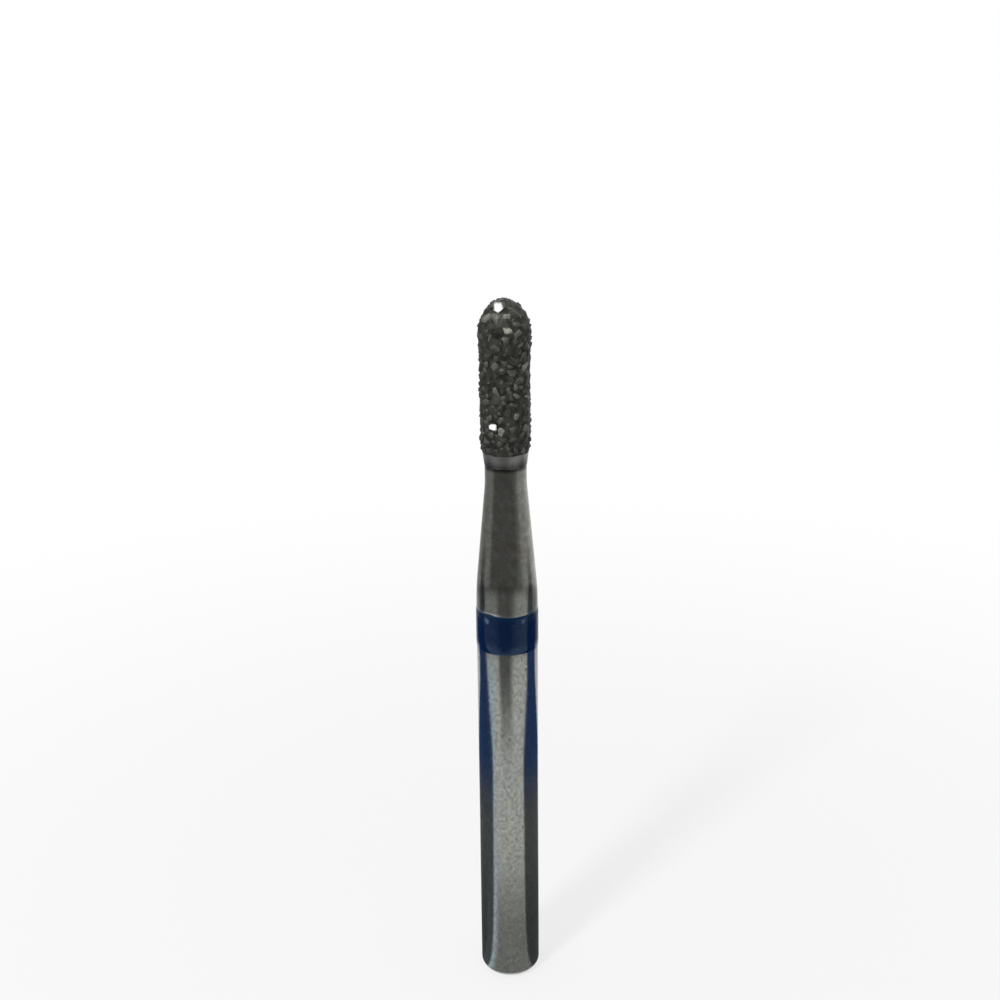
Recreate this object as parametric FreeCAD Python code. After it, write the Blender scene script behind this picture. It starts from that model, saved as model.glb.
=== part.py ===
import FreeCAD, Part

import math
import os
import random

# Dental bur with a friction-grip shank, standing on the shank's end face: the origin is the centre
# of that face and +Z runs along the axis to the tip. All sizes are in millimetres.

# Shank: the parallel pin that the chuck grips
shank_diameter = 1.60
shank_length = 11.40
end_rounding = 0.25

# Neck: a long cone down from the shank's diameter to a slim throat
cone_length = 2.80
throat_diameter = 1.07
throat_length = 0.58
throat_blend_radius = 4.0

# Collar: a short bevel that opens from the throat to the head
collar_foot_diameter = 1.08
collar_length = 0.30

# Steel core of the head: a straight wall under an egg-shaped dome
core_diameter = 1.16
core_length = 3.86
dome_height = 0.80

# Diamond coat: plated grit, thin where it starts above the collar and built up round the dome
coat_setback = 0.03
coat_thickness = 0.055
coat_end_thickness = 0.030
coat_end_run = 0.35
crown_buildup = 0.030
crown_spread = 0.45

# Grains of the coat: the net of facets that their tips and hollows make
grain_pitch = 0.100
grain_tip_height = 0.040
grain_hollow_depth = 0.024
grain_scatter = 0.022
grain_seed = 14

# Colour band: a thin ring of lacquer with a low crown at its middle and a well rounded lower edge
band_start = 9.84
band_width = 1.08
band_thickness = 0.012
band_crown = 0.004
band_lower_round = 0.26
band_upper_round = 0.14
band_round_chords = 3

# Heights along the axis
cone_top = shank_length + cone_length
collar_base = cone_top + throat_length
collar_top = collar_base + collar_length
core_top = collar_top + core_length
dome_base = core_top - dome_height
coat_base = collar_top + coat_setback

# Radii
shank_radius = shank_diameter / 2
core_radius = core_diameter / 2

NODES = "parts"


def in_section(radius, height):
    """A point of the turned outline, which is drawn in the XZ plane."""
    return FreeCAD.Vector(radius, 0, height)


def rounded_outline(corners):
    """Edges through (radius, height, rounding) corners, with a tangent arc at each rounded one."""
    edges = []
    last = in_section(*corners[0][:2])
    for before, (radius, height, rounding), after in zip(corners, corners[1:], corners[2:]):
        corner = in_section(radius, height)
        if rounding == 0:
            edges.append(Part.LineSegment(last, corner).toShape())
            last = corner
            continue
        back = (in_section(*before[:2]) - corner).normalize()
        ahead = (in_section(*after[:2]) - corner).normalize()
        half_angle = back.getAngle(ahead) / 2
        tangent = rounding / math.tan(half_angle)
        start = corner + back * tangent
        middle = corner + (back + ahead).normalize() * (rounding / math.sin(half_angle) - rounding)
        end = corner + ahead * tangent
        edges.append(Part.LineSegment(last, start).toShape())
        edges.append(Part.Arc(start, middle, end).toShape())
        last = end
    edges.append(Part.LineSegment(last, in_section(*corners[-1][:2])).toShape())
    return edges


def quarter_ellipse(centre, radial, axial):
    """The quarter of an ellipse from centre + radial, along the radius, to centre + axial."""
    along_radius = centre + in_section(radial, 0)
    along_axis = centre + in_section(0, axial)
    half = math.sqrt(0.5)
    if abs(axial) > abs(radial):
        ellipse = Part.Ellipse(along_axis, along_radius, centre)
    else:
        ellipse = Part.Ellipse(along_radius, along_axis, centre)
    middle = centre + in_section(radial * half, axial * half)
    ends = sorted(ellipse.parameter(point) for point in (along_radius, along_axis))
    if not ends[0] < ellipse.parameter(middle) < ends[1]:
        ends = [ends[1], ends[0] + 2 * math.pi]
    return ellipse.toShape(*ends)


def drawn_straight(points):
    """Straight edges kept as free curves, so that the thin walls they sweep mesh in whole rings."""
    edges = []
    for start, end in zip(points, points[1:]):
        curve = Part.BezierCurve()
        curve.setPoles([start, end])
        edges.append(curve.toShape())
    return edges


def turned(edges):
    """The solid of revolution that a closed outline sweeps round the Z axis."""
    outline = Part.Wire(Part.__sortEdges__(edges))
    return Part.Face(outline).revolve(FreeCAD.Vector(), FreeCAD.Vector(0, 0, 1), 360)


def make_steel_blank():
    """Shank, neck, collar and head core, turned from one bar."""
    corners = [
        (0, 0, 0),
        (shank_radius, 0, end_rounding),
        (shank_radius, shank_length, 0),
        (throat_diameter / 2, cone_top, throat_blend_radius),
        (throat_diameter / 2, collar_base, 0),
        (collar_foot_diameter / 2, collar_base, 0),
        (core_radius, collar_top, 0),
        (core_radius, dome_base, 0),
    ]
    edges = rounded_outline(corners)
    edges.append(quarter_ellipse(in_section(0, dome_base), core_radius, dome_height))
    edges.append(Part.LineSegment(in_section(0, core_top), in_section(0, 0)).toShape())
    return turned(edges)


def band_end(end, bend):
    """Points of the lacquer's rounded end, from the steel at the end to full thickness at the bend."""
    points = []
    for k in range(band_round_chords + 1):
        turn = math.pi / 2 * k / band_round_chords
        radius = shank_radius + band_thickness * math.sin(turn)
        points.append(in_section(radius, bend + (end - bend) * math.cos(turn)))
    return points


def make_colour_band():
    """The lacquer ring, seated on the shank's own diameter."""
    bottom = band_start
    top = band_start + band_width
    lower_bend = bottom + band_lower_round
    upper_bend = top - band_upper_round
    crown = in_section(shank_radius + band_thickness + band_crown, (lower_bend + upper_bend) / 2)
    outside = band_end(bottom, lower_bend) + [crown] + band_end(top, upper_bend)[::-1]
    edges = drawn_straight(outside)
    edges.append(Part.LineSegment(outside[-1], outside[0]).toShape())
    return turned(edges)


def coat_outline():
    """Rows of the coat from its lower end to the pole, as (radius, height, slope) on the steel.

    The slope is the angle of the surface's outward normal above the horizontal.
    """
    row_pitch = grain_pitch * math.sqrt(3) / 2
    wall = dome_base - coat_base
    wall_rows = max(1, round(wall / row_pitch))
    rows = [(core_radius, coat_base + wall * k / wall_rows, 0) for k in range(wall_rows)]
    quarter = math.pi / 4 * (core_radius + dome_height)
    dome_rows = max(3, round(quarter / row_pitch))
    for k in range(dome_rows + 1):
        turn = math.pi / 2 * k / dome_rows
        radius = core_radius * math.cos(turn)
        height = dome_base + dome_height * math.sin(turn)
        slope = math.atan2(math.sin(turn) / dome_height, math.cos(turn) / core_radius)
        rows.append((radius, height, slope))
    return rows


def mean_thickness(height):
    """Thickness of the coat, without its grains, over a height on the steel."""
    start = min(1, (height - coat_base) / coat_end_run)
    from_crown = (height - dome_base) / crown_spread
    wall = coat_end_thickness + (coat_thickness - coat_end_thickness) * start
    return wall + crown_buildup * math.exp(-(from_crown ** 2))


def stitch(lower, upper, angles):
    """Triangles between two rings of point numbers, walking round both by their angles."""
    triangles = []
    i = 0
    j = 0
    while i < len(lower) or j < len(upper):
        a = lower[i % len(lower)]
        b = upper[j % len(upper)]
        next_a = lower[(i + 1) % len(lower)]
        next_b = upper[(j + 1) % len(upper)]
        angle_a = angles[next_a] + 2 * math.pi * ((i + 1) // len(lower))
        angle_b = angles[next_b] + 2 * math.pi * ((j + 1) // len(upper))
        if j == len(upper) or (i < len(lower) and angle_a <= angle_b):
            triangles.append((a, next_a, b))
            i += 1
        else:
            triangles.append((a, next_b, b))
            j += 1
    return triangles


def choose_tips(count, triangles, dice):
    """Points that stand up as grain tips, none of them beside another."""
    beside = [set() for _ in range(count)]
    for triangle in triangles:
        for point in triangle:
            beside[point].update(triangle)
    order = list(range(count))
    dice.shuffle(order)
    tips = set()
    for point in order:
        if not beside[point] & tips:
            tips.add(point)
    return tips


def grain_surface():
    """The coat's facets as triples of points, and the ring of points round its lower end."""
    dice = random.Random(grain_seed)
    rows = coat_outline()
    seats = []
    angles = []
    rings = []
    for k, (radius, height, slope) in enumerate(rows[:-1]):
        count = max(5, round(2 * math.pi * radius / grain_pitch))
        ring = []
        for i in range(count):
            scatter = dice.uniform(-1, 1) * grain_scatter / max(radius, grain_pitch)
            angle = 2 * math.pi * (i + 0.5 * (k % 2)) / count + scatter
            drift = dice.uniform(-1, 1) * grain_scatter if k > 0 else 0
            seats.append((radius, height, slope, drift))
            angles.append(angle)
            ring.append(len(seats) - 1)
        rings.append(ring)
    seats.append((*rows[-1], 0))
    angles.append(0)
    pole = len(seats) - 1

    triangles = []
    for lower, upper in zip(rings, rings[1:]):
        triangles += stitch(lower, upper, angles)
    last = rings[-1]
    triangles += [(a, b, pole) for a, b in zip(last, last[1:] + last[:1])]

    tips = choose_tips(len(seats), triangles, dice)
    points = []
    for number, (radius, height, slope, drift) in enumerate(seats):
        if number in tips:
            relief = grain_tip_height * dice.uniform(0.35, 1)
        else:
            relief = -grain_hollow_depth * dice.uniform(0, 1)
        thickness = mean_thickness(height) + relief * (mean_thickness(height) / coat_thickness)
        reach = radius + thickness * math.cos(slope) - drift * math.sin(slope)
        level = height + thickness * math.sin(slope) + drift * math.cos(slope)
        angle = angles[number]
        points.append(FreeCAD.Vector(reach * math.cos(angle), reach * math.sin(angle), level))
    facets = [tuple(points[number] for number in triangle) for triangle in triangles]
    return facets, [points[number] for number in rings[0]]


def make_diamond_coat(blank):
    """The plated grit, solid down to the steel that it covers."""
    facets, lower_end = grain_surface()
    faces = [Part.Face(Part.makePolygon([a, b, c, a])) for a, b, c in facets]
    faces.append(Part.Face(Part.makePolygon(lower_end + lower_end[:1])))
    shell = Part.makeShell(faces)
    return Part.makeSolid(shell).cut(blank)


def main():
    os.makedirs(NODES, exist_ok=True)
    blank = make_steel_blank()
    solids = {
        "steel_blank": blank,
        "diamond_coat": make_diamond_coat(blank),
        "colour_band": make_colour_band(),
    }
    for name, solid in solids.items():
        solid.exportStep(f"{NODES}/{name}.step")
        print(f"{name}: {solid.Volume:.3f} cubic mm, {len(solid.Faces)} faces, valid {solid.isValid()}")
    box = Part.makeCompound(list(solids.values())).optimalBoundingBox(False)
    print(f"overall: {box.XLength:.3f} x {box.YLength:.3f} x {box.ZLength:.3f} mm")


main()
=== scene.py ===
# %% [markdown]
# # A dental bur in steel, lacquer and diamond
#
# A bur is the cutter of a dental drill. This one is a steel pin about 19 mm long: a head covered
# with diamond grit, a slim tapered neck, a ring of dark blue lacquer that tells how coarse the
# grit is, and a plain shank for the chuck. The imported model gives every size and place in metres,
# so the first cell loads it, and each finished piece is built on what it says.

# %% Load the model
import math
import random

import bmesh
import bpy
import numpy as np
from mathutils import Matrix, Vector, noise
from mathutils.kdtree import KDTree


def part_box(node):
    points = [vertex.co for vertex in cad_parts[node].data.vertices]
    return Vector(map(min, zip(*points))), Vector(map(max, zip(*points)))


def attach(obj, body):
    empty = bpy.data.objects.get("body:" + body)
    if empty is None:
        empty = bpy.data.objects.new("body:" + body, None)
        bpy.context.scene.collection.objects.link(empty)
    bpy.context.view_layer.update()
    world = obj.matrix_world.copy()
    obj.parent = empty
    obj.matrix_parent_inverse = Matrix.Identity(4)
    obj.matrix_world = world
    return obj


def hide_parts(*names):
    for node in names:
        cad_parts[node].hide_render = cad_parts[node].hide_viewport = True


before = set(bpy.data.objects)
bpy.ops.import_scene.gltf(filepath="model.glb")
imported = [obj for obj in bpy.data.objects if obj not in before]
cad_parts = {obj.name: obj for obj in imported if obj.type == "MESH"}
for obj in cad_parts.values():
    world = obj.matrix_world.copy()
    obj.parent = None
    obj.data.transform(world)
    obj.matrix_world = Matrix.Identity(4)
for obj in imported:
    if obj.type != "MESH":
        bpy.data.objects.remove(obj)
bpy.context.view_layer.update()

MM = 0.001

# %% [markdown]
# ## The sizes that the steel gives
#
# The steel pin is turned, so all of its shape is in one outline: a radius at every height. The
# outline could be copied as numbers, but then it would have to be kept in step by hand. Here it
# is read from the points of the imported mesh: the widest point is the shank, the slimmest one
# above it is the throat, and so on up to the dome.

# %% Read the outline
turned_points = []
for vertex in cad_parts["steel_blank"].data.vertices:
    turned_points.append((math.hypot(vertex.co.x, vertex.co.y) / MM, vertex.co.z / MM))
SAME = 0.001


def heights_at(radius, above=-math.inf):
    """Lowest and highest point of the steel that has a radius, in mm, above a height."""
    found = [z for r, z in turned_points if abs(r - radius) < SAME and z > above]
    return min(found), max(found)


shank_radius = max(r for r, z in turned_points)
shank_start, neck_foot = heights_at(shank_radius)
steel_top = max(z for r, z in turned_points)
upper_third = steel_top - (steel_top - neck_foot) / 3
past_cone = neck_foot + 2
core_radius = max(r for r, z in turned_points if z > upper_third)
collar_top, dome_base = heights_at(core_radius, above=past_cone)
throat_radius = min(r for r, z in turned_points if neck_foot < z < collar_top)
throat_start, collar_base = heights_at(throat_radius, above=neck_foot)
collar_foot_radius = max(r for r, z in turned_points if abs(z - collar_base) < SAME)
cone_end = max((z, r) for r, z in turned_points if neck_foot < z < throat_start - SAME)
print(f"shank radius {shank_radius:.3f}, from {shank_start:.3f} to {neck_foot:.3f}")
print(f"throat radius {throat_radius:.3f}, from {throat_start:.3f} to {collar_base:.3f}")
print(f"head radius {core_radius:.3f}, from {collar_top:.3f} to {dome_base:.3f}, top {steel_top:.3f}")

# %% [markdown]
# ## The camera
#
# The photograph looks down at the bur from the front at about 17 degrees, from about two lengths
# of the bur away, which makes the shank look slimmer towards its foot, and the bur leans a little
# to the left in it. The camera stands at that point with a long lens, turned a little lower than
# the photograph's middle, so that the whole shank and its place on the floor are in the picture.

# %% Place the camera
focal_pixels = 1500
picture_pixels = 1000
sensor_width = 36.0
photo_elevation = math.radians(17)
photo_distance = 37.76
photo_middle_height = 15.033
pixels_right_of_middle = 6.1
lean = math.radians(0.64)
turned_lower = math.radians(1.75)

camera_data = bpy.data.cameras.new("camera")
camera_data.sensor_width = sensor_width
camera_data.lens = focal_pixels / picture_pixels * sensor_width
camera_data.clip_start = 1 * MM
camera_data.clip_end = 2000 * MM
camera = bpy.data.objects.new("camera", camera_data)
bpy.context.scene.collection.objects.link(camera)
bpy.context.scene.camera = camera

sideways = -pixels_right_of_middle / focal_pixels * photo_distance
camera_spot = Vector((
    sideways,
    -photo_distance * math.cos(photo_elevation),
    photo_middle_height + photo_distance * math.sin(photo_elevation),
))
camera.location = camera_spot * MM
tilt = Matrix.Rotation(math.pi / 2 - photo_elevation - turned_lower, 4, "X")
roll = Matrix.Rotation(-lean, 4, "Z")
camera.rotation_euler = (tilt @ roll).to_euler()
print("camera at", [round(value, 2) for value in camera_spot], "mm, lens", camera_data.lens, "mm")

# %% [markdown]
# ## Turning a piece
#
# The shank, the neck and the collar are turned on a lathe and then ground, so their surfaces are
# round all the way. The CAD mesh has about 42 flat sides, which polished steel would show as
# stripes.
# A lathe in mesh code makes the same outline with many more sides. Corners that are really
# rounded get an arc of short chords, and long runs are divided, so that the shading follows the
# true surface right up to each corner.

# %% Lathe
def arc_at(before, corner, after, rounding, chords=8):
    """Points of the tangent arc that rounds a corner of an outline."""
    back = (before - corner).normalized()
    ahead = (after - corner).normalized()
    half_angle = back.angle(ahead) / 2
    tangent = rounding / math.tan(half_angle)
    start = corner + back * tangent
    centre = corner + (back + ahead).normalized() * (rounding / math.sin(half_angle))
    sweep = math.pi - 2 * half_angle
    if back.cross(ahead) > 0:
        sweep = -sweep
    spoke = start - centre
    turns = [Matrix.Rotation(sweep * k / chords, 2) for k in range(chords + 1)]
    return [centre + turn @ spoke for turn in turns]


def outline_through(corners, longest_run=0.25):
    """Points (radius, height) through (radius, height, rounding) corners, with the runs divided."""
    bends = [[Vector(corners[0][:2])]]
    for before, here, after in zip(corners, corners[1:], corners[2:]):
        spot = Vector(here[:2])
        if here[2] > 0:
            bends.append(arc_at(Vector(before[:2]), spot, Vector(after[:2]), here[2]))
        else:
            bends.append([spot])
    bends.append([Vector(corners[-1][:2])])
    points = []
    for bend, following in zip(bends, bends[1:]):
        points += bend
        run = following[0] - bend[-1]
        parts = math.ceil(run.length / longest_run)
        points += [bend[-1] + run * k / parts for k in range(1, parts)]
    return points + bends[-1]


def mesh_object(name, vertices, faces):
    """An object in the scene from points in mm and faces."""
    mesh = bpy.data.meshes.new(name)
    mesh.from_pydata([Vector(vertex) * MM for vertex in vertices], [], faces)
    piece = bpy.data.objects.new(name, mesh)
    bpy.context.scene.collection.objects.link(piece)
    return piece


def new_piece(name, vertices, faces, smooth):
    """An object that is joined to the model's one body."""
    piece = mesh_object(name, vertices, faces)
    piece.data.polygons.foreach_set("use_smooth", [smooth] * len(faces))
    piece.data.update()
    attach(piece, "root")
    return piece


def around(number, count):
    """Angle of a numbered point of a ring, in radians."""
    return 2 * math.pi * number / count


def polar(radius, angle, height):
    """The point at a radius, an angle and a height round the axis."""
    return radius * math.cos(angle), radius * math.sin(angle), height


def turned_mesh(points, sides):
    """Vertices and faces of an outline turned round the axis; its ends are on the axis."""
    vertices = [(0, 0, points[0].y)]
    for point in points[1:-1]:
        for k in range(sides):
            vertices.append(polar(point.x, around(k, sides), point.y))
    vertices.append((0, 0, points[-1].y))
    last = len(vertices) - 1
    faces = []
    for k in range(sides):
        beside = (k + 1) % sides
        faces.append((0, 1 + beside, 1 + k))
        for row in range(len(points) - 3):
            low = 1 + row * sides
            high = low + sides
            faces.append((low + k, low + beside, high + beside, high + k))
        top = last - sides
        faces.append((top + k, top + beside, last))
    return vertices, faces


def sharpen(piece, limit):
    """Marks the edges that bend by more than an angle as sharp, so that they aren't shaded over."""
    form = bmesh.new()
    form.from_mesh(piece.data)
    for edge in form.edges:
        if len(edge.link_faces) == 2 and edge.calc_face_angle() > limit:
            edge.smooth = False
    form.to_mesh(piece.data)
    form.free()


# %% [markdown]
# ## The steel pin
#
# The shank's end has a rounded edge. Where the shank becomes the neck the grinder leaves no crisp
# line, so that corner gets a small rounding as well, and the neck runs into the throat in a long
# curve. The collar's two edges are sharp: there the steel steps out under the grit.

# %% Turn the steel pin
steel_sides = 224
dome_steps = 12
neck_foot_rounding = 8.0
sharp_angle = math.radians(30)

cone_slope = (shank_radius - cone_end[1]) / (cone_end[0] - neck_foot)
cone_top = neck_foot + (shank_radius - throat_radius) / cone_slope
flare = math.pi / 2 - math.atan(cone_slope) / 2
throat_blend = (throat_start - cone_top) * math.tan(flare)

steel_corners = [
    (0, 0, 0),
    (shank_radius, 0, shank_start),
    (shank_radius, neck_foot, neck_foot_rounding),
    (throat_radius, cone_top, throat_blend),
    (throat_radius, collar_base, 0),
    (collar_foot_radius, collar_base, 0),
    (core_radius, collar_top, 0),
    (core_radius, dome_base, 0),
]
steel_outline = outline_through(steel_corners)
dome_height = steel_top - dome_base
for step in range(1, dome_steps + 1):
    turn = math.pi / 2 * step / dome_steps
    height = dome_base + dome_height * math.sin(turn)
    steel_outline.append(Vector((core_radius * math.cos(turn), height)))

steel_pin = new_piece("steel_pin", *turned_mesh(steel_outline, steel_sides), smooth=True)
sharpen(steel_pin, sharp_angle)
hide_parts("steel_blank")
print("steel pin:", len(steel_pin.data.polygons), "faces, throat blend", round(throat_blend, 2), "mm")

# %% [markdown]
# ## The lacquer ring
#
# The ring is a thick drop of lacquer that ran round the spinning shank. Its lower edge is well
# rounded. Its upper edge isn't quite true: it wanders by a few hundredths of a millimetre and rises
# at two places. A turned mesh would make that edge a perfect circle, so the ring is a grid whose
# rows slide up and down with the angle, closed by a wall that touches the steel. Each lift of the
# edge is an angle from the front, a width, both in radians, and a height in mm.

# %% Form the lacquer ring
ring_low, ring_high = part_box("colour_band")
ring_bottom = ring_low.z / MM
ring_top = ring_high.z / MM
ring_radius = ring_high.x / MM
ring_rise = ring_radius - shank_radius
ring_sides = 240
ring_rows = 26
lower_round = 0.26
upper_round = 0.14
edge_wander = 0.014
wander_scale = 1.6
edge_drop = 0.02
edge_lifts = ((-0.66, 0.26, 0.050), (0.90, 0.20, 0.030))
crisp_angle = math.radians(60)
FRONT = -math.pi / 2


def angle_between(first, second):
    """Signed difference of two angles, the short way round."""
    return (first - second + math.pi) % (2 * math.pi) - math.pi


def edge_offset(angle):
    """How far the upper edge stands above the top of the CAD ring, in mm."""
    spot = Vector(polar(1, angle, 0)) * wander_scale
    lift = 0
    for place, width, height in edge_lifts:
        lift += height * math.exp(-((angle_between(angle, FRONT + place) / width) ** 2))
    return edge_wander * noise.noise(spot) + lift - edge_drop


def ring_proud(height, bottom, top):
    """How far the lacquer stands out from the steel at a height: less in its rounded ends."""
    into_lower = (bottom + lower_round - height) / lower_round
    into_upper = (height - top + upper_round) / upper_round
    into_end = max(0, into_lower, into_upper)
    return ring_rise * math.sqrt(max(0, 1 - into_end * into_end))


def ring_row(angle):
    """Points (radius, height) up the ring's outside at an angle."""
    top = ring_top + edge_offset(angle)
    points = []
    for row in range(ring_rows + 1):
        part = (1 - math.cos(math.pi * row / ring_rows)) / 2
        height = ring_bottom + (top - ring_bottom) * part
        points.append((shank_radius + ring_proud(height, ring_bottom, top), height))
    return points


ring_vertices = []
for k in range(ring_sides):
    angle = around(k, ring_sides)
    for radius, height in ring_row(angle):
        ring_vertices.append(polar(radius, angle, height))
ring_faces = []
column = ring_rows + 1
for k in range(ring_sides):
    here = k * column
    beside = (k + 1) % ring_sides * column
    for row in range(ring_rows):
        ring_faces.append((here + row, beside + row, beside + row + 1, here + row + 1))
    ring_faces.append((here, here + ring_rows, beside + ring_rows, beside))

lacquer_ring = new_piece("lacquer_ring", ring_vertices, ring_faces, smooth=True)
sharpen(lacquer_ring, crisp_angle)
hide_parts("colour_band")
print(f"lacquer ring: {ring_bottom:.2f} to {ring_top:.2f} mm, stands {ring_rise:.3f} mm proud")

# %% [markdown]
# ## Finding the way on the head
#
# The core of the head is a straight wall under a dome. Places measured by height alone would crowd
# together near the tip, where the dome lies almost flat. So a place is an angle and a run: the
# distance along the steel's outline from the lower end of the coat. Plated metal is thin at that
# end and builds up round the shoulder, where the wall turns into the dome.

# %% Measure the head
coat_low, coat_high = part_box("diamond_coat")
coat_start = coat_low.z / MM
coat_top = coat_high.z / MM
wall_length = dome_base - coat_start
taper_run = 0.40
shoulder_spread = 0.45
dome_marks = 61

dome_turns = np.linspace(0, math.pi / 2, dome_marks)
dome_radii = core_radius * np.cos(dome_turns)
dome_heights = dome_base + dome_height * np.sin(dome_turns)
dome_runs = np.concatenate([[0], np.cumsum(np.hypot(np.diff(dome_radii), np.diff(dome_heights)))])
head_length = wall_length + dome_runs[-1]


def on_core(run):
    """Radius, height and slope of the steel at a run."""
    if run <= wall_length:
        return core_radius, coat_start + run, 0.0
    turn = float(np.interp(run - wall_length, dome_runs, dome_turns))
    slope = math.atan2(math.sin(turn) / dome_height, math.cos(turn) / core_radius)
    return core_radius * math.cos(turn), dome_base + dome_height * math.sin(turn), slope


def over_core(run, angle, offset):
    """The point over the steel at an offset, and the outward normal there."""
    radius, height, slope = on_core(run)
    normal = Vector(polar(math.cos(slope), angle, math.sin(slope)))
    return Vector(polar(radius, angle, height)) + normal * offset, normal


def shoulder(run):
    """1 where the wall turns into the dome, where plated metal builds up, and 0 far from it."""
    return math.exp(-(((run - wall_length) / shoulder_spread) ** 2))


def taper(run):
    """0 at the coat's lower end, 1 from where it has its full thickness."""
    return min(1, max(0, run / taper_run))


print(f"head: {wall_length:.2f} mm of wall and {dome_runs[-1]:.2f} mm over the dome")

# %% [markdown]
# ## Where the grit sits
#
# Diamond burs are made by holding grit against the steel while nickel is plated round it. Each
# grain ends up half sunk in the metal, at its own angle, and no two lie on one spot. So the head
# is made the same way: grains are dropped on the head at random, the large ones first, and one
# that would lie on another is left out. Near the lower end of the coat only small ones stay. The
# dice are seeded, so that every run drops them on the same spots. Eight grains that stand out in
# the photograph are set first, at a run, the degrees from the front and a size.

# %% Drop the grains
grit_seed = 21
throws = 7000
coarse_share = 0.45
coarse_sizes = (0.22, 0.35)
fine_sizes = (0.13, 0.21)
towards_small = 0.7
spacing = 0.78
room_for_chosen = 1.25
lowest_run = 0.06
size_at_end = 0.12
size_per_run = 0.3
# The pale and dim grains carry painted highlights: their paler shade paints the light on bright facets.
chosen_grains = [
    (wall_length + 0.72, -19, 0.270, "flashing"),
    (15.88 - coat_start, -30, 0.190, "flashing"),
    (wall_length + 0.50, 8, 0.20, "pale"),
    (wall_length + 0.17, 8, 0.22, "pale"),
    (wall_length + 0.42, -52, 0.26, "dim"),
    (15.78 - coat_start, -10, 0.20, "pale"),
    (17.42 - coat_start, 56, 0.28, "dim"),
    (16.55 - coat_start, 60, 0.26, "dim"),
]
grains = []


def drop_grain(run, angle, size, kind):
    """Adds a grain to the list, with its seat on the steel."""
    seat, normal = over_core(run, angle, 0)
    grains.append({"run": run, "size": size, "kind": kind, "seat": seat, "normal": normal})


for run, degrees, size, kind in chosen_grains:
    drop_grain(run, FRONT + math.radians(degrees), size, kind)

dice = random.Random(grit_seed)
sizes = []
for throw in range(throws):
    low, high = coarse_sizes if throw < throws * coarse_share else fine_sizes
    sizes.append(high - (high - low) * dice.random() ** towards_small)
seats = np.array([grain["seat"] for grain in grains])
reaches = np.array([grain["size"] * room_for_chosen for grain in grains])
for size in sizes:
    run = dice.uniform(lowest_run, head_length)
    angle = dice.uniform(0, 2 * math.pi)
    seat = over_core(run, angle, 0)[0]
    too_near_tip = dice.random() > on_core(run)[0] / core_radius
    if too_near_tip or size > size_at_end + size_per_run * run:
        continue
    gaps = np.linalg.norm(seats - np.array(seat), axis=1) - (reaches + size) / 2 * spacing
    if gaps.min() < 0:
        continue
    drop_grain(run, angle, size, "plain")
    seats = np.vstack([seats, seat])
    reaches = np.append(reaches, size)
coarse_count = sum(grain["size"] > fine_sizes[1] for grain in grains)
print(len(grains), "grains, of which", coarse_count, "coarse")

# %% [markdown]
# ## Crystals
#
# A grain of synthetic diamond is a tiny stone with flat faces and cut-off corners, often broken on
# one side. A displaced sphere would give pebbles without a single flat face, and it's the flat
# faces that flash in the light. So each pattern starts as a cube, and planes cut its corners off
# at random depths. Two dozen patterns, each turned and stretched differently, are enough that no
# repeat shows.

# %% Cut the crystal patterns
pattern_count = 24
corner_cuts = 9
cut_depths = (0.40, 0.56)
shortest_edge = 0.01


def random_turn():
    """A rotation with no favoured direction."""
    axis = Vector((dice.gauss(0, 1), dice.gauss(0, 1), dice.gauss(0, 1))).normalized()
    return Matrix.Rotation(dice.uniform(0, 2 * math.pi), 3, axis)


def cut_crystal(cuts, first_cut=None):
    """Vertices and faces of a stone about 1 across whose corners are cut off by planes."""
    form = bmesh.new()
    bmesh.ops.create_cube(form, size=1.0)
    planes = [] if first_cut is None else [first_cut]
    for _ in range(cuts):
        corner = Vector([dice.choice((-1, 1)) * dice.uniform(0.35, 1) for _ in range(3)])
        planes.append((corner.normalized(), dice.uniform(*cut_depths)))
    for normal, depth in planes:
        whole = list(form.verts) + list(form.edges) + list(form.faces)
        cut = bmesh.ops.bisect_plane(
            form, geom=whole, dist=1e-5, plane_co=normal * depth, plane_no=normal, clear_outer=True
        )
        rim = [part for part in cut["geom_cut"] if isinstance(part, bmesh.types.BMEdge)]
        if rim:
            bmesh.ops.holes_fill(form, edges=rim, sides=0)
    bmesh.ops.remove_doubles(form, verts=form.verts, dist=shortest_edge)
    bmesh.ops.dissolve_degenerate(form, edges=form.edges, dist=shortest_edge)
    bmesh.ops.recalc_face_normals(form, faces=form.faces)
    form.verts.index_update()
    vertices = [vertex.co.copy() for vertex in form.verts]
    faces = [[vertex.index for vertex in face.verts] for face in form.faces]
    form.free()
    return vertices, faces


patterns = [cut_crystal(corner_cuts) for _ in range(pattern_count)]
print("patterns have", sorted(len(faces) for vertices, faces in patterns), "faces")

# %% [markdown]
# ## Light for the flashing grains
#
# Two grains flash white in the photograph. A face flashes when it mirrors a lamp to the eye, so
# its normal lies halfway between the directions to the lamp and to the camera. The key lamp's
# place is settled here, and two grains get one face that is cut at just that angle: they flash
# for the same reason as the real ones do, and go dark from any other side.

# %% Aim the flashing faces
key_elevation = math.radians(42)
key_azimuth = math.radians(-36)
key_distance = 150
key_direction = Vector((
    math.sin(key_azimuth) * math.cos(key_elevation),
    -math.cos(key_azimuth) * math.cos(key_elevation),
    math.sin(key_elevation),
))
key_spot = Vector((0, 0, photo_middle_height)) + key_direction * key_distance


def flashing_normal(seat):
    """The direction of a face that mirrors the key lamp to the camera."""
    to_camera = (camera_spot - seat).normalized()
    to_lamp = (key_spot - seat).normalized()
    return (to_camera + to_lamp).normalized()


for grain in grains:
    if grain["kind"] == "flashing":
        off_surface = math.degrees(flashing_normal(grain["seat"]).angle(grain["normal"]))
        print(f"flashing face at height {grain['seat'].z:.2f}: {off_surface:.0f} degrees off the surface")

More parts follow.
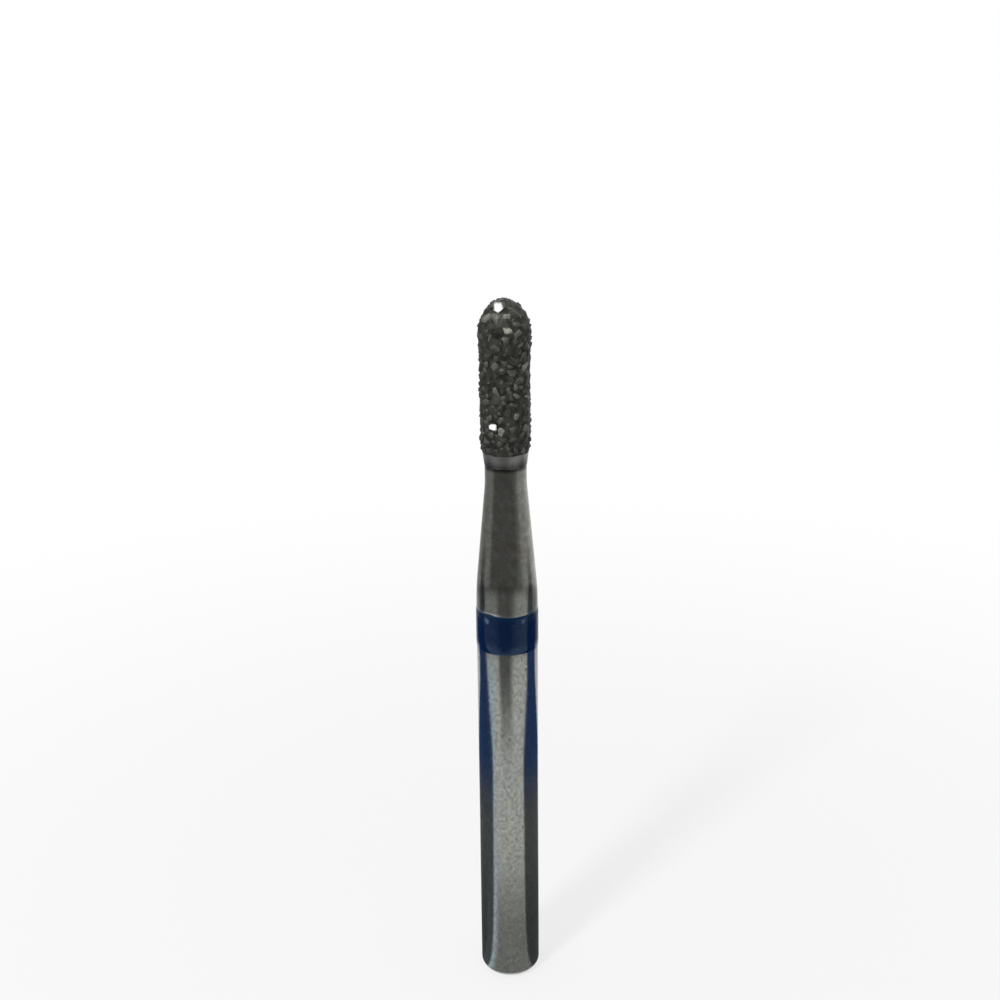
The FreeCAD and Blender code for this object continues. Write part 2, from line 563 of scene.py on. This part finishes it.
# %% [markdown]
# ## The grains
#
# All grains are one mesh of closed stones. Some are shaded flat, like fresh stones, and the blunt
# ones smooth. Each is as wide as its size, rather flatter than wide, and sunk so that a little
# less than half of it is free. Two numbers on the points of each grain go to the material: its
# shade makes some grains darker and some paler, and its clearness tells how polished it is. A
# flashing face gets a clear point in its middle and a duller rim, so that its glint fades towards
# the rim as a real one does.

# %% Set the grains
free_height = 0.078
shoulder_lift = 0.028
lift_at_end = 0.75
fine_lift = 0.62
lift_range = (0.86, 1.06)
flatness_range = (0.62, 0.85)
width_range = (0.85, 1.1)
flashing_depth = 0.22
chosen_lifts = {"plain": 0, "dim": 0.006, "pale": 0.012, "flashing": 0.050}
# Painted highlights: the pale and dim grains get a paler shade than the plain ones.
chosen_shades = {"pale": 1.0, "dim": 0.93, "flashing": 0.7}
plain_shade_top = 0.88
blunt_share = 0.75
rim_clearness = 0.25
grain_vertices = []
grain_faces = []
grain_shades = []
grain_clearness = []
grain_smooth = []


def split_face(vertices, faces, normal):
    """Gives the face that looks along a normal a point in its middle, which comes last."""
    heights = [vertex.dot(normal) for vertex in vertices]
    flat = max(faces, key=lambda face: sum(heights[number] for number in face) / len(face))
    middle = sum((vertices[number] for number in flat), Vector()) / len(flat)
    fan = [[first, second, len(vertices)] for first, second in zip(flat, flat[1:] + flat[:1])]
    return vertices + [middle], [face for face in faces if face is not flat] + fan


def set_grain(grain):
    """Adds one grain to the lists, turned, stretched and sunk in its place."""
    size = grain["size"]
    normal = grain["normal"]
    kind = grain["kind"]
    flashing = kind == "flashing"
    tapered = lift_at_end + (1 - lift_at_end) * taper(grain["run"])
    lift = free_height * tapered + shoulder_lift * shoulder(grain["run"])
    lift *= fine_lift + (1 - fine_lift) * min(1, size / coarse_sizes[0])
    thickness = size * dice.uniform(*flatness_range)
    lift += chosen_lifts[kind]
    if flashing:
        face = flashing_normal(grain["seat"])
        vertices, faces = split_face(*cut_crystal(corner_cuts, (face, flashing_depth)), face)
        shape = Matrix.Scale(size, 3)
    else:
        vertices, faces = dice.choice(patterns)
        width = size * dice.uniform(*width_range)
        depth = size * dice.uniform(*width_range)
        upright = normal.to_track_quat("Z", "Y").to_matrix()
        shape = upright @ Matrix.Diagonal((width, depth, thickness)) @ random_turn()
    placed = [shape @ vertex for vertex in vertices]
    top = max(vertex.dot(normal) for vertex in placed)
    centre = grain["seat"] + normal * (lift * dice.uniform(*lift_range) - top)
    first = len(grain_vertices)
    grain_vertices.extend(centre + vertex for vertex in placed)
    grain_faces.extend([first + number for number in face] for face in faces)
    shade = chosen_shades.get(kind, dice.random() * plain_shade_top)
    grain_shades.extend([shade] * len(vertices))
    rim, middle = (rim_clearness, 1.0) if flashing else (0.0, 0.0)
    grain_clearness.extend([rim] * (len(vertices) - 1) + [middle])
    grain_smooth.extend([not flashing and dice.random() < blunt_share] * len(faces))


for grain in grains:
    set_grain(grain)
grit = new_piece("diamond_grains", grain_vertices, grain_faces, smooth=False)
grit.data.polygons.foreach_set("use_smooth", grain_smooth)
for name, values in (("shade", grain_shades), ("clearness", grain_clearness)):
    grit.data.attributes.new(name, "FLOAT", "POINT").data.foreach_set("value", values)
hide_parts("diamond_coat")
grain_top = max(vertex.z for vertex in grain_vertices)
print(f"{len(grain_faces)} faces on the grains; highest point {grain_top:.3f} of {coat_top:.3f}")

# %% [markdown]
# ## The plated metal between the grains
#
# The nickel isn't a smooth sleeve. It climbs a little way up every grain, so that a large grain
# stands on a low mound, and its lower end is an uneven line above the collar. A sleeve with a
# bump texture would lose those mounds at the edge of the head, where the photograph shows them.
# So the metal is a fine grid whose every point is lifted by the grains next to it. Inside, a wall
# and a floor of the same grid close it against the steel.

# %% Plate the head
bond_sides = 210
bond_step = 0.024
bond_thickness = 0.030
mound_height = 0.030
bond_end_thickness = 0.010
mound_reach = 0.85
neighbours = 3
ripples = ((7, 0.006), (19, 0.003))
bond_edge_wander = 0.022
wander_lumps = 3.1
sharp_bond_angle = math.radians(70)
grain_tree = KDTree(len(grains))
for number, grain in enumerate(grains):
    grain_tree.insert(grain["seat"], number)
grain_tree.balance()


def bond_offset(run, spot):
    """Height of the plated metal over the steel."""
    full = bond_end_thickness + (bond_thickness - bond_end_thickness) * taper(run)
    mound = 0
    for _, number, distance in grain_tree.find_n(spot, neighbours):
        grain = grains[number]
        if grain["kind"] == "flashing":
            continue
        near = max(0, 1 - distance / (mound_reach * grain["size"] + 0.001))
        mound = max(mound, near * near * (3 - 2 * near) * grain["size"] / coarse_sizes[1])
    ripple = sum(noise.noise(spot * lumps) * height for lumps, height in ripples)
    relief = (mound_height * mound + ripple) * (0.3 + 0.7 * taper(run))
    return full + relief + shoulder_lift * shoulder(run)


bond_rows = round(head_length / bond_step)
bond_vertices = []
for row in range(bond_rows):
    for k in range(bond_sides):
        angle = around(k + 0.5 * (row % 2), bond_sides)
        direction = Vector(polar(1, angle, 0))
        start = bond_edge_wander * (1 + noise.noise(direction * wander_lumps))
        run = start + (head_length - start) * row / bond_rows
        spot = over_core(run, angle, 0)[0]
        bond_vertices.append(over_core(run, angle, bond_offset(run, spot))[0])
pole_spot = Vector((0, 0, steel_top))
bond_vertices.append(pole_spot + Vector((0, 0, bond_offset(head_length, pole_spot))))
pole = len(bond_vertices) - 1
bond_faces = []
for row in range(bond_rows - 1):
    for k in range(bond_sides):
        low = row * bond_sides
        beside = (k + 1) % bond_sides
        bond_faces.append((low + k, low + beside, low + bond_sides + beside, low + bond_sides + k))
for k in range(bond_sides):
    top = (bond_rows - 1) * bond_sides
    bond_faces.append((top + k, top + (k + 1) % bond_sides, pole))
inner = len(bond_vertices)
for level in (0, wall_length):
    for k in range(bond_sides):
        foot = bond_vertices[k].z if level == 0 else coat_start + level
        bond_vertices.append(polar(core_radius, around(k, bond_sides), foot))
for k in range(bond_sides):
    beside = (k + 1) % bond_sides
    bond_faces.append((inner + k, inner + beside, beside, k))
    bond_faces.append((inner + k, inner + bond_sides + k, inner + bond_sides + beside, inner + beside))
bond_faces.append([inner + bond_sides + k for k in range(bond_sides)])

bond = new_piece("plated_metal", bond_vertices, bond_faces, smooth=True)
sharpen(bond, sharp_bond_angle)
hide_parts("diamond_coat")
print(len(bond_faces), "faces on the plated metal")

# %% [markdown]
# ## Shader sums in plain Python
#
# A material is a net of nodes, and most of them do small sums. Written out one by one they hide
# the idea, so a socket is wrapped in a class that knows the signs of arithmetic: noise * 2 adds a
# Math node, or a Vector Math or Mix node where the values are vectors or colours.

# %% Shader sums
class Wire:
    """An output socket that Python can do sums with."""

    def __init__(self, bench, socket):
        self.bench = bench
        self.socket = socket

    def sum(self, operation, first, second):
        """Adds the node for one step of a sum, of the kind that the values ask for."""
        kinds = [value.socket.type for value in (first, second) if isinstance(value, Wire)]
        if "RGBA" in kinds:
            settings = {"data_type": "RGBA", "blend_type": operation}
            return self.bench.add("ShaderNodeMix", settings, {0: 1.0, 6: first, 7: second}, output=2)
        kind = "ShaderNodeVectorMath" if "VECTOR" in kinds else "ShaderNodeMath"
        return self.bench.add(kind, {"operation": operation}, {0: first, 1: second})

    def __add__(self, other):
        return self.sum("ADD", self, other)

    def __radd__(self, other):
        return self.sum("ADD", other, self)

    def __sub__(self, other):
        return self.sum("SUBTRACT", self, other)

    def __rsub__(self, other):
        return self.sum("SUBTRACT", other, self)

    def __mul__(self, other):
        return self.sum("MULTIPLY", self, other)

    def __rmul__(self, other):
        return self.sum("MULTIPLY", other, self)

    def __pow__(self, other):
        return self.sum("POWER", self, other)

    def __abs__(self):
        return self.sum("ABSOLUTE", self, 0)


class Bench:
    """The node tree of a material or of the world, while it is being made."""

    def __init__(self, owner):
        self.owner = owner
        owner.use_nodes = True
        self.tree = owner.node_tree
        self.tree.nodes.clear()

    def add(self, kind, settings=None, sockets=None, output=0):
        """Adds a node: its settings first, then the values or links of its sockets."""
        node = self.tree.nodes.new(kind)
        for name, value in (settings or {}).items():
            if name == "stops":
                self.set_stops(node.color_ramp.elements, value)
            else:
                setattr(node, name, value)
        for name, value in (sockets or {}).items():
            socket = node.inputs[name]
            if isinstance(value, Wire):
                self.tree.links.new(value.socket, socket)
            elif socket.type == "RGBA" and not isinstance(value, (int, float)):
                socket.default_value = (*value[:3], 1)
            elif socket.type in ("VECTOR", "RGBA") and isinstance(value, (int, float)):
                socket.default_value = [value] * len(socket.default_value)
            else:
                socket.default_value = value
        return Wire(self, node.outputs[output]) if len(node.outputs) else None

    def set_stops(self, elements, stops):
        """Fills a colour ramp with (position, colour) stops."""
        while len(elements) < len(stops):
            elements.new(1.0)
        for element, (position, colour) in zip(elements, stops):
            element.position = position
            element.color = (*colour[:3], 1)

    def place(self):
        """The point of the surface in millimetres."""
        return self.add("ShaderNodeTexCoord", output="Object") * (1 / MM)

    def parts(self, vector):
        """The three numbers of a vector."""
        node = self.add("ShaderNodeSeparateXYZ", {}, {0: vector}).socket.node
        return [Wire(self, output) for output in node.outputs]

    def noise(self, place, detail=2.0, roughness=0.5):
        """Noise from 0 to 1 whose lumps are about one unit of the place across."""
        sockets = {"Vector": place, "Scale": 1.0, "Detail": detail, "Roughness": roughness}
        return self.add("ShaderNodeTexNoise", {}, sockets)

    def distance(self, place, spot):
        """How far a place is from a spot, in millimetres."""
        settings = {"operation": "DISTANCE"}
        return self.add("ShaderNodeVectorMath", settings, {0: place, 1: spot}, output="Value")

    def step(self, value, low, high):
        """0 below low, 1 above high, and a smooth rise between."""
        sockets = {"Value": value, "From Min": low, "From Max": high}
        return self.add("ShaderNodeMapRange", {"interpolation_type": "SMOOTHSTEP"}, sockets)

    def blend(self, share, first, second):
        """The first colour where the share is 0, the second where it is 1."""
        settings = {"data_type": "RGBA", "blend_type": "MIX"}
        return self.add("ShaderNodeMix", settings, {0: share, 6: first, 7: second}, output=2)

    def bump(self, height, depth_mm):
        """A normal for relief of a depth in millimetres."""
        sockets = {"Height": height, "Distance": depth_mm * MM, "Strength": 1.0}
        return self.add("ShaderNodeBump", {}, sockets)

    def mix(self, share, first, second):
        """The first shader where the share is 0, the second where it is 1."""
        return self.add("ShaderNodeMixShader", {}, {0: share, 1: first, 2: second})

    def principled(self, colour, roughness, relief, others):
        """The material with a principled surface."""
        sockets = {"Base Color": colour, "Roughness": roughness, "Normal": relief, **others}
        return self.surface(self.add("ShaderNodeBsdfPrincipled", {}, sockets))

    def surface(self, shader):
        """Sends a shader to the material's output."""
        self.add("ShaderNodeOutputMaterial", {}, {"Surface": shader})
        return self.owner


def start_finish(name):
    """The bench of a new material."""
    return Bench(bpy.data.materials.new(name))


def dress(piece, material):
    """Gives a piece its only material."""
    piece.data.materials.clear()
    piece.data.materials.append(material)
    print(f"{piece.name}: {material.name}, {len(material.node_tree.nodes)} nodes")


# %% [markdown]
# ## Ground steel
#
# The shank and the neck are ground while they spin, which leaves very fine rings round them, and
# handling leaves a fine dark speckle. Real marks in the mesh would be far below a facet's size,
# so they are noise in the material: drawn out round the axis for the rings, even in all
# directions for the speckle. Both also change how rough the steel is, so that its reflections
# break up a little, as they do on the real one. Each noise is shifted by an offset of its own, so
# that no two have their lumps in the same spots.

# %% Marks on the steel
finish = start_finish("ground_steel")
place = finish.place()
height = finish.parts(place)[2]
fine_rings = finish.noise(place * (1.5, 1.5, 60), detail=3)
wide_rings = finish.noise(place * (0.8, 0.8, 9), detail=2)
cloud = finish.noise(place * 1.6, detail=3)
mottle = finish.noise(place * (13, 13, 10) + (3, 7, 1), detail=2, roughness=0.6)
blotch = finish.step(finish.noise(place * 12 + (4, 2, 9), detail=2), 0.56, 0.74)
on_shank = 1 - finish.step(height, ring_top, neck_foot + 0.3)
handled = 0.5 + 0.5 * on_shank
smudge_noise = finish.noise(place * (4, 4, 5) + (8, 3, 1), detail=3, roughness=0.6)
smudge = finish.step(smudge_noise, 0.46, 0.62)
smear_noise = finish.noise(place * (5, 5, 6) + (1, 7, 4), detail=3, roughness=0.6)
smear = finish.step(smear_noise, 0.48, 0.66)
print(len(finish.tree.nodes), "nodes for the marks")

# %% [markdown]
# ## Where the steel changes
#
# Three narrow zones differ from the rest: a thin painted highlight just over the ring, clearest
# where the ring's edge rises; the collar, which the plating bath left rough and pale, with painted
# shade that darkens it towards its lower edge; and a dark line of painted shade under it. Each is
# found by its height, so it runs all the way round the steel.

# %% Ground steel
steel_colour = (0.332, 0.345, 0.318)
steel_dull = (0.17, 0.17, 0.155)
smudge_tint = (0.84, 0.74, 0.66)
plated_colour = (0.36, 0.355, 0.34)
under_collar_shade_colour = (0.035, 0.034, 0.030)
# Painted highlight: a thin bright line on the steel just over the ring, strongest at one spot where the
# ring's edge rises.
over_ring = finish.step(height, ring_top - 0.04, ring_top)
line = over_ring - finish.step(height, ring_top + 0.03, ring_top + 0.08)
highlight_spot = polar(shank_radius, FRONT + edge_lifts[0][0], ring_top)
from_highlight_spot = finish.distance(place, highlight_spot)
painted_highlight_line = line * (1.4 - 1.2 * finish.step(from_highlight_spot, 0.15, 0.5))
plated = finish.step(height, collar_base - 0.01, collar_base + 0.03)
# Painted shade: the collar's colour darkens towards its lower edge.
collar_shade_fade = finish.step(height, collar_base, collar_top)
# Painted shade: a dark line on the throat just under the collar.
under_collar_shade = finish.step(height, collar_base - 0.13, collar_base - 0.02) - plated
tone = finish.blend(blotch * on_shank * 0.5, steel_colour, steel_dull)
marks = 0.20 * cloud + 0.95 * mottle + 0.10 * wide_rings - 0.625
tone = tone * (1 + marks * handled + painted_highlight_line)
tone = finish.blend(smudge * (1 - on_shank) * 0.7, tone, tone * smudge_tint)
tone = tone * (1 + 0.22 * smear * (1 - on_shank))
# The collar gets its plated colour, darkened by painted shade towards its lower edge.
tone = finish.blend(plated * 0.9, tone, plated_colour) * (1 - 0.72 * plated * (1 - collar_shade_fade))
tone = finish.blend(under_collar_shade * 0.85, tone, under_collar_shade_colour)
roughness = 0.07 + (0.04 * fine_rings + 0.04 * mottle) * handled
roughness = roughness + 0.10 * blotch * on_shank + 0.26 * plated
steel_relief = fine_rings * 0.6 + mottle * 0.8 + wide_rings * 0.5
relief = finish.bump(steel_relief * handled, depth_mm=0.0006)
dress(steel_pin, finish.principled(tone, roughness, relief, {"Metallic": 1.0}))

# %% [markdown]
# ## Dark blue lacquer
#
# The ring's lacquer is thick and glossy, so its depth is dark and the light on it is on top: a
# dark blue ground whose gloss is tinted blue. A clear coat would mirror plain white at the ring's
# sides, which the photograph doesn't show. Where the lacquer thins out towards its upper edge the
# steel lightens it. Two tiny beads near that edge stand up as bumps with a painted highlight on
# them, and specks of dust are tinted a little towards the same paler colour. The edge is found by
# height, so no picture has to be wrapped on the ring.

# %% Blue lacquer
lacquer_deep = (0.0002, 0.0050, 0.0285)
lacquer_thin = (0.003, 0.016, 0.050)
lacquer_edge = (0.012, 0.030, 0.042)
lacquer_gleam = (0.42, 0.66, 1.0)
bead_highlight_and_dust_colour = (0.08, 0.13, 0.20)
bead_places = ((-41, ring_top - 0.17, 0.090), (31, ring_top - 0.15, 0.075))
finish = start_finish("blue_lacquer")
place = finish.place()
height = finish.parts(place)[2]
thin = finish.step(height, ring_top - 0.16, ring_top + 0.01)
cloud = finish.noise(place * 2.2, detail=3)
dust = finish.step(finish.noise(place * 17, detail=2), 0.68, 0.76)
tone = finish.blend(thin * 0.6 + cloud * 0.25, lacquer_deep, lacquer_thin)
edge = finish.step(height, ring_top - 0.05, ring_top - 0.01)
tone = finish.blend(edge * 0.8, tone, lacquer_edge)
ragged = (finish.noise(place * 15, detail=3) - 0.5) * 0.17
beads = 0
for degrees, bead_height, bead_size in bead_places:
    centre = polar(ring_radius, FRONT + math.radians(degrees), bead_height)
    from_bead = finish.distance(place, centre) + ragged
    beads = beads + (1 - finish.step(from_bead, bead_size * 0.1, bead_size * 1.2))
# Painted highlight on the two beads; specks of dust are tinted a little towards the same colour.
tone = finish.blend(beads * 0.8 + dust * 0.12, tone, bead_highlight_and_dust_colour)
relief = finish.bump(cloud * 0.6 + beads * 2 + dust * 0.4, depth_mm=0.004)
roughness = 0.05 + 0.06 * cloud + 0.2 * dust
gloss = {"IOR": 1.6, "Specular Tint": lacquer_gleam}
dress(lacquer_ring, finish.principled(tone, roughness, relief, gloss))

# %% [markdown]
# ## Plated nickel and diamond
#
# The nickel between the grains is dull, and its dark colour is painted shade for the grains that
# shade it. The grains are clear stones of a faint yellow-green, but they look nearly black with
# metal behind them, and only their flat faces shine. Glass shaders would be slow and would show
# the steel inside, so each grain is a dark gloss whose ground colour follows its shade. A veil of
# dust darkens nickel and grains in the same spots.

# %% Plated nickel
# The nickel's dark ground colour is painted shade from the grains round it.
nickel_painted_shade_colour = (0.060, 0.061, 0.050)
nickel_dust = (0.020, 0.0205, 0.016)


def dust_veil(bench, place):
    """Cloudy noise that is the same on the nickel and on the grains."""
    return bench.noise(place * 6 + (5, 1, 8), detail=2)


finish = start_finish("plated_nickel")
place = finish.place()
fine = finish.noise(place * 30, detail=4)
clean = finish.step(dust_veil(finish, place), 0.32, 0.68)
tone = finish.blend(clean, nickel_dust, nickel_painted_shade_colour)
relief = finish.bump(fine, depth_mm=0.006)
dress(bond, finish.principled(tone, 0.45 + 0.25 * fine, relief, {"Metallic": 0.55}))

# %% [markdown]
# ## The stones themselves
#
# Grit is sorted by size and not by colour, so most grains are dark and a few are paler. A colour
# for each face would make a mosaic, so the shade of a whole grain picks its colour on a ramp, and
# frost and fractures vary it. A flashing face has no relief, so that it mirrors the lamp.

# %% Diamond grains
grain_colours = [
    (0.00, (0.020, 0.0205, 0.0160)),
    (0.45, (0.038, 0.0395, 0.0310)),
    (0.75, (0.060, 0.0630, 0.0500)),
    (0.90, (0.095, 0.0995, 0.0810)),
    (1.00, (0.190, 0.1980, 0.1600)),
]
finish = start_finish("diamond_grain")
place = finish.place()
shade = finish.add("ShaderNodeAttribute", {"attribute_name": "shade"}, output="Fac")
clearness = finish.add("ShaderNodeAttribute", {"attribute_name": "clearness"}, output="Fac")
frost = finish.noise(place * 22, detail=4, roughness=0.6)
fracture = finish.noise(place * 11 + (2, 6, 3), detail=2)
tone = finish.add("ShaderNodeValToRGB", {"stops": grain_colours}, {"Fac": shade})
tone = tone * (0.2 * frost + 1.7 * dust_veil(finish, place) + 0.8 * fracture - 0.25)
unpolished = 1 - finish.step(clearness, 0, 0.2)
relief = finish.bump((fracture + 0.25 * frost) * unpolished, depth_mm=0.014)
roughness = (0.32 + 0.22 * frost) * (1 - clearness) + 0.06
dress(grit, finish.principled(tone, roughness, relief, {"IOR": 1.6}))

# %% [markdown]
# ## The floor and the white surroundings
#
# The bur stands on its end on a plain pale floor. Close to it the floor is an ordinary matt
# surface, so that the shadow of the shank falls on it. Further out it turns into the same even
# white as the surroundings. The whiteness is seen by the camera and by reflections alone, so it
# adds no light to the bur.

# %% Floor and surroundings
floor_half = 420
floor_colour = (0.86, 0.86, 0.86)
whiteness_near = 0.72
white_from = 6
white_to = 45
plain_light = 0.56


def seen_white(bench):
    """1 for camera, mirrored and transmitted rays, 0 for the rays that carry light to surfaces."""
    path = bench.add("ShaderNodeLightPath")
    rays = path.socket.node.outputs
    camera_ray, mirrored, passed_on = [
        Wire(bench, rays[f"Is {kind} Ray"]) for kind in ("Camera", "Glossy", "Transmission")
    ]
    seen = camera_ray + (mirrored + passed_on)
    return seen.sum("MINIMUM", seen, 1.0)


corners = [(x * floor_half, y * floor_half, 0) for x, y in ((-1, -1), (1, -1), (1, 1), (-1, 1))]
floor = mesh_object("floor", corners, [(0, 1, 2, 3)])
finish = start_finish("pale_floor")
place = finish.place()
from_bur = finish.add("ShaderNodeVectorMath", {"operation": "LENGTH"}, {0: place}, output="Value")
matt = finish.add("ShaderNodeBsdfDiffuse", {}, {"Color": floor_colour})
white = finish.add("ShaderNodeEmission", {}, {"Color": (1, 1, 1), "Strength": 1.0})
whiteness = whiteness_near + (1 - whiteness_near) * finish.step(from_bur, white_from, white_to)
dress(floor, finish.surface(finish.mix(whiteness * seen_white(finish), matt, white)))

world = bpy.data.worlds.new("surroundings")
bpy.context.scene.world = world
bench = Bench(world)
strength = plain_light + (1 - plain_light) * seen_white(bench)
background = bench.add("ShaderNodeBackground", {}, {"Color": (1, 1, 1), "Strength": strength})
bench.add("ShaderNodeOutputWorld", {}, {"Surface": background})

# %% [markdown]
# ## Cards for the steel to mirror
#
# Polished steel has hardly any colour of its own: it looks like what stands round it. In the
# photograph the neck has a dark middle, and the shank has a bright middle between dark sides.
# Painting those stripes on the steel would be wrong from any other side. So printed cards stand
# round the bur, as in a product studio, and only mirrored rays see them. Their print fades from
# dark to clear with the direction from the bur, and where a card is clear the white surroundings
# show through it. Each card is a belt between two circles, and its print depends on the bearing,
# which is the direction from the axis in degrees to the right of the front.

# %% Printed cards
card_parts = 96


def belt(first, second):
    """Vertices and faces between two circles round the axis, each a (radius, height)."""
    vertices = []
    for k in range(card_parts):
        for radius, height in (first, second):
            vertices.append(polar(radius, around(k, card_parts), height))
    count = 2 * card_parts
    faces = [(k, (k + 2) % count, (k + 3) % count, k + 1) for k in range(0, count, 2)]
    return vertices, faces


def add_card(name, first, second, colour, darkness):
    """Adds a printed card that only reflections see: clear where its darkness is 0."""
    piece = mesh_object(name, *belt(first, second))
    for rays in ("camera", "diffuse", "shadow", "transmission"):
        setattr(piece, f"visible_{rays}", False)
    bench = start_finish(name)
    print_glow = bench.add("ShaderNodeEmission", {}, {"Color": colour, "Strength": 1.0})
    clear = bench.add("ShaderNodeBsdfTransparent")
    share = darkness(bench, *bearing_distance_height(bench))
    dress(piece, bench.surface(bench.mix(share, clear, print_glow)))


def bearing_distance_height(bench):
    """Of a point: its degrees to the right of the front, distance from the axis and height, in mm."""
    x, y, height = bench.parts(bench.place())
    bearing = x.sum("ARCTAN2", x, -1 * y) * (180 / math.pi)
    return bearing, (x * x + y * y) ** 0.5, height


def light_round(bench, bearing, stops):
    """Brightness by bearing, on straight lines between its (degrees, brightness) stops."""
    shades = [(degrees / 360 + 0.5, (value, value, value)) for degrees, value in stops]
    ramp = bench.add("ShaderNodeValToRGB", {"stops": shades}, {"Fac": bearing * (1 / 360) + 0.5})
    return bench.add("ShaderNodeRGBToBW", {}, {0: ramp})


# %% [markdown]
# ## What the neck mirrors
#
# The neck tapers upwards, so it mirrors an upright wall round the bur. The wall card has one row of
# brightness for the neck and another for the steel just above the ring. Thin dark lines run up both
# sides of the neck's foot. They would need many more rows, so a card of their own makes them.

# %% Cards for the neck
card_distance = 31.0
card_top = 34.0
card_print = (0.020, 0.019, 0.017)
line_print = (0.022, 0.028, 0.050)
line_card_distance = 15.0
line_card_heights = (4.8, 9.6)
light_on_neck = [
    (-180, 1.0), (-150, 0.40), (-118, 0.27), (-88, 0.30), (-75, 0.29), (-64, 0.14), (-55, 0.12),
    (36, 0.125), (56, 0.25), (68, 0.42), (98, 0.48), (120, 0.66), (180, 1.0),
]
light_above_ring = [
    (-180, 1.0), (-122, 0.24), (-80, 0.37), (-46, 0.36), (-28, 0.16), (5, 0.13),
    (20, 0.23), (38, 0.48), (66, 0.53), (126, 0.27), (180, 1.0),
]


def wall_darkness(bench, bearing, distance, height):
    """The upright card: what the neck mirrors, and at its foot what the steel above the ring does."""
    level = height + (bearing * (1 / 66)) ** 2
    above_ring = light_round(bench, bearing, light_above_ring)
    neck = light_round(bench, bearing, light_on_neck)
    neck = neck * (1 - 0.45 * (1 - bench.step(level, 4.88, 5.1)))
    return 1 - (above_ring + (neck - above_ring) * bench.step(level, 2.0, 5.4))


def line_darkness(bench, bearing, distance, height):
    """Two narrow upright lines, which fade out upwards."""
    aside = abs(bearing + 4)
    inner = 79 + 5 * bench.step(height, 6, 8)
    line = bench.step(aside, inner, inner + 12) * (1 - bench.step(aside, 105, 120))
    return line * (0.80 - 0.35 * bench.step(height, 7.2, 8.4) - 0.45 * bench.step(height, 8.3, 9.3))


wall_foot = (card_distance, 0.0)
add_card("wall_card", wall_foot, (card_distance, card_top), card_print, wall_darkness)
line_foot, line_top = [(line_card_distance, level) for level in line_card_heights]
add_card("line_card", line_foot, line_top, line_print, line_darkness)

# %% [markdown]
# ## What the shank mirrors
#
# The eye looks down at the upright shank, so it mirrors what lies flat round its foot. The floor
# card leaves a bright strip in front, and the cool card tints the left of that strip. The side card
# holds dark blue sectors, which make both sides of the shank dark, and the foot card carries them
# on in grey to the very foot. One print of all four would be much harder to set.

# %% Cards for the shank
card_hole = 0.81
side_print = (0.036, 0.074, 0.210)
foot_print = (0.060, 0.064, 0.070)
cool_print = (0.75, 0.86, 1.00)


def floor_darkness(bench, bearing, distance, height):
    """A bright strip in front of the shank, a painted shadow close to the foot, and further out a ring.
    """
    left_edge = -34 - 7 * bench.step(distance, 16, 20)
    strip = bench.step(bearing, left_edge, left_edge + 18) * (1 - bench.step(bearing, 3, 26))
    near = 0.88 - 0.72 * strip * bench.step(distance, 11, 20.8)
    # Painted shadow: the card darkens close to the foot, where the floor round the shank is shaded.
    near = near - 0.5 * (1 - bench.step(distance, 2.5, 8))
    far = light_round(bench, bearing, light_above_ring)
    return 1 - (near + (far - near) * bench.step(distance, 21.2, 22.8))


def beside_the_shank(bench, bearing, distance):
    """1 in two sectors on the left and right of the bur, 0 outside them."""
    shift = 2 + 6 * bench.step(distance, 20, 23)
    aside = abs(bearing + shift)
    inner = 60 + 22 * bench.step(distance, 12, 22) + 8 * bench.step(distance, 22, 27)
    outer = 154 - 28 * bench.step(distance, 12, 20.5) + 8 * bench.step(distance, 21, 23)
    return bench.step(aside, inner - 5, inner + 5) * (1 - bench.step(aside, outer - 6, outer + 6))


def side_darkness(bench, bearing, distance, height):
    """The outer part of the sectors, which the shank mirrors up to the ring."""
    reach = bench.step(distance, 8.5, 13.5) * (1 - bench.step(distance, 25.2, 26.2))
    return beside_the_shank(bench, bearing, distance) * reach


def foot_darkness(bench, bearing, distance, height):
    """The inner part of the sectors, which the foot of the shank mirrors."""
    reach = 1 - bench.step(distance, 13, 16)
    return 0.9 * beside_the_shank(bench, bearing, distance) * reach


def cool_share(bench, bearing, distance, height):
    """A faint blue sheen on the left of the shank's pale strip."""
    sheen = bench.step(bearing, -98, -88) * (1 - bench.step(bearing, -60, -38))
    return sheen * (1 - bench.step(distance, 20, 22))


flat_cards = [
    ("floor_card", 0.02, card_print, floor_darkness),
    ("cool_card", 0.04, cool_print, cool_share),
    ("foot_card", 0.06, foot_print, foot_darkness),
    ("side_card", 0.08, side_print, side_darkness),
]
for name, level, colour, darkness in flat_cards:
    add_card(name, (card_hole, level), (card_distance, level), colour, darkness)

# %% [markdown]
# ## The lamp
#
# One lamp, high on the left, stands in for the bright spot in the room. It is small, so that a
# face of a grain either mirrors it or doesn't, and the even light of the surroundings does most
# of the work. Together they light a surface about as brightly as its colour is written.

# %% Key lamp
key_size = 26
key_share = 0.50

key_data = bpy.data.lights.new("key_lamp", "AREA")
key_data.shape = "DISK"
key_data.size = key_size * MM
solid_angle = math.pi * (key_size / 2) ** 2 / key_distance ** 2
radiance = key_share * math.pi / solid_angle
key_data.energy = radiance * math.pi * math.pi * (key_size / 2 * MM) ** 2
key_lamp = bpy.data.objects.new("key_lamp", key_data)
key_lamp.location = key_spot * MM
key_lamp.rotation_euler = key_direction.to_track_quat("Z", "Y").to_euler()
bpy.context.scene.collection.objects.link(key_lamp)
bpy.context.scene.view_settings.view_transform = "Standard"
print(f"key lamp: {key_data.energy:.3f} W, radiance {radiance:.0f}")
